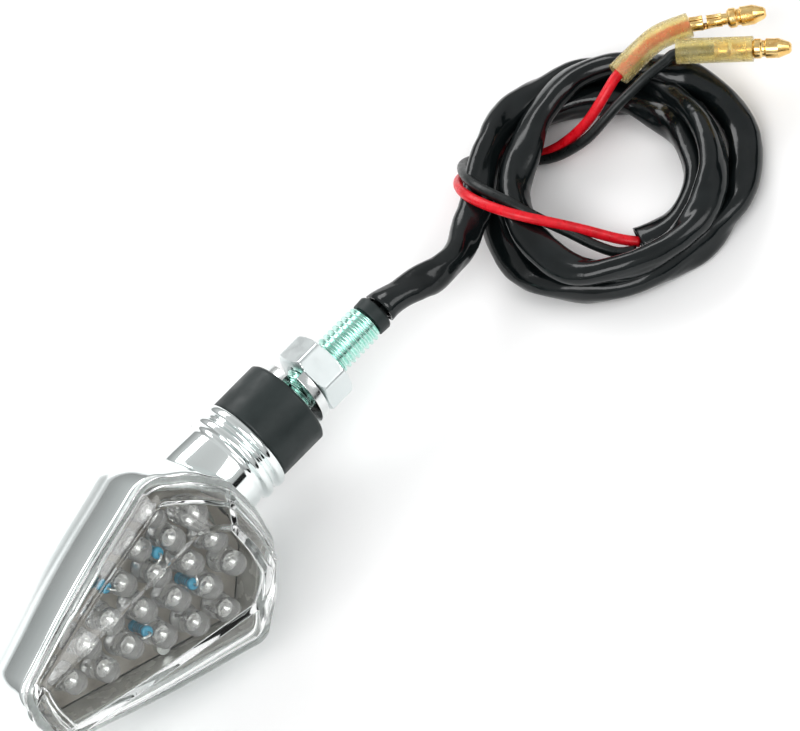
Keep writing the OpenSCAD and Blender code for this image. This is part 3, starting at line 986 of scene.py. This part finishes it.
def make_led(number, x, y):
    """A clear 5 mm LED: flanged dome, with its cup, anvil and legs inside the epoxy."""
    base = BOARD_TOP + LED_STAND
    radius, height = 2.5, 8.6
    dome = [(height - radius + radius * math.sin(math.radians(a)), radius * math.cos(math.radians(a)))
            for a in range(0, 90, 9)]
    body = [(0, 0), (0, 2.75), (0.12, 2.9), (0.88, 2.9), (1.0, 2.8), (1.02, 2.5)] + dome + [(height, 0)]
    up = Matrix.Translation((x, y, base)) @ Matrix.Rotation(-math.pi / 2, 4, "Y")
    matrix = HEAD @ up @ Matrix.Rotation(number * 1.1, 4, "X")
    cup = rounded([(3.4, 0), (3.4, 0.45), (4.3, 0.95), (5.0, 1.0), (5.0, 0.8), (4.5, 0.4), (4.5, 0)], 0.04)
    parts = [turned_solid(body, 0, 40), turned_solid([(a, max(b, 0)) for a, b in cup], 1, 24)]
    for side in (-1, 1):
        leg = [[(a, side * 1.27 + u, v) for u, v in ((-0.25, -0.25), (0.25, -0.25), (0.25, 0.25), (-0.25, 0.25))]
               for a in (-0.8, 3.2)]
        parts.append((*skin(leg), 1))
    anvil = [[(a, u, v) for u, v in ((-1.5, -0.2), (-0.3, -0.2), (-0.3, 0.2), (-1.5, 0.2))] for a in (2.4, 4.6)]
    parts.append((*skin(anvil), 1))
    name = f"led_{number:02d}"
    mesh = mesh_of(name, parts, matrix)
    obj = link(name + "_lamp", mesh, [EPOXY, TIN], "head")
    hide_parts(name)


def make_resistor(number, x, y):
    """A resistor standing on end: bulged ends, five bands, and its upper leg bent down beside it."""
    length = 6.3
    stations = [0, 0.12, 0.4, 0.9, 1.4, 1.75, 2.0, 2.4, 2.65, 3.05, 3.3, 3.7, 3.95, 4.35, 4.6, 5.0, 5.4, 5.9,
                6.18, 6.3]
    bands = ((1.75, 2.0), (2.4, 2.65), (3.05, 3.3), (3.7, 3.95), (4.6, 5.0))
    profile = []
    for a in stations:
        end = min(a, length - a)
        if end < 0.12:
            r = 0.75
        elif end < 1.5:
            r = 1.2 - 0.22 * max(0, (end - 0.9) / 0.6) - 0.2 * max(0, (0.4 - end) / 0.3)
        else:
            r = 0.98
        profile.append((a, r))
    rings = []
    for a, r in profile:
        rings.append([(a, r * math.cos(2 * math.pi * k / 32), r * math.sin(2 * math.pi * k / 32))
                      for k in range(32)])
    parts = []
    for (a, _), (b, _), low, high in zip(profile, profile[1:], rings, rings[1:]):
        dark = any(a >= p - 1e-6 and b <= q + 1e-6 for p, q in bands)
        parts.append((*skin([low, high], True, False, False), 1 if dark else 0))
    parts.append((rings[0], [tuple(reversed(range(32)))], 0))
    parts.append((rings[-1], [tuple(range(32))], 0))
    leg = smooth_path([(6.3, 0, 0), (7.0, 0, 0), (7.5, 0.4, 0), (7.6, 1.1, 0), (7.2, 1.8, 0), (6.4, 2.0, 0),
                       (3.0, 2.0, 0), (-1.2, 2.0, 0)], 0.25)
    parts.append((*skin(tube_rings(leg, round_section(0.26), 10)), 2))
    foot = [Vector((-1.2, 0, 0)), Vector((-0.6, 0, 0)), Vector((0.05, 0, 0))]
    parts.append((*skin(tube_rings(foot, round_section(0.26), 10)), 2))
    up = Matrix.Translation((x, y, BOARD_TOP + 1.2)) @ Matrix.Rotation(-math.pi / 2, 4, "Y")
    name = f"resistor_{number}"
    mesh = mesh_of(name, parts, HEAD @ up @ Matrix.Rotation(number * 1.9, 4, "X"))
    obj = link(name + "_body", mesh, [BLUE, NAVY, TIN], "head")
    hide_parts(name)


def make_lamps():
    places = [(x, y) for x, row in LED_ROWS for y in row]
    for number, (x, y) in enumerate(places, 1):
        make_led(number, x, y)
    for number, (x, y) in enumerate(RESISTORS, 1):
        make_resistor(number, x, y)


def paint_cad_nodes():
    """Carried-over CAD nodes get the same materials as the pieces around them."""
    for node, material in (("circuit_board", BOARD), ("board_screws", WASHER), ("led_leads", TIN),
                           ("head_leads", BLACK), ("inner_leads", BLACK), ("ferrule", WASHER),
                           ("lens_gasket", SEAL), ("liner", LINER)):
        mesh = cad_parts[node].data
        mesh.materials.clear()
        mesh.materials.append(material)


make_cable()
make_collar()
make_stud()
make_nut()
make_washer()
make_grommet()
make_housing()
make_lens()
make_lamps()
paint_cad_nodes()
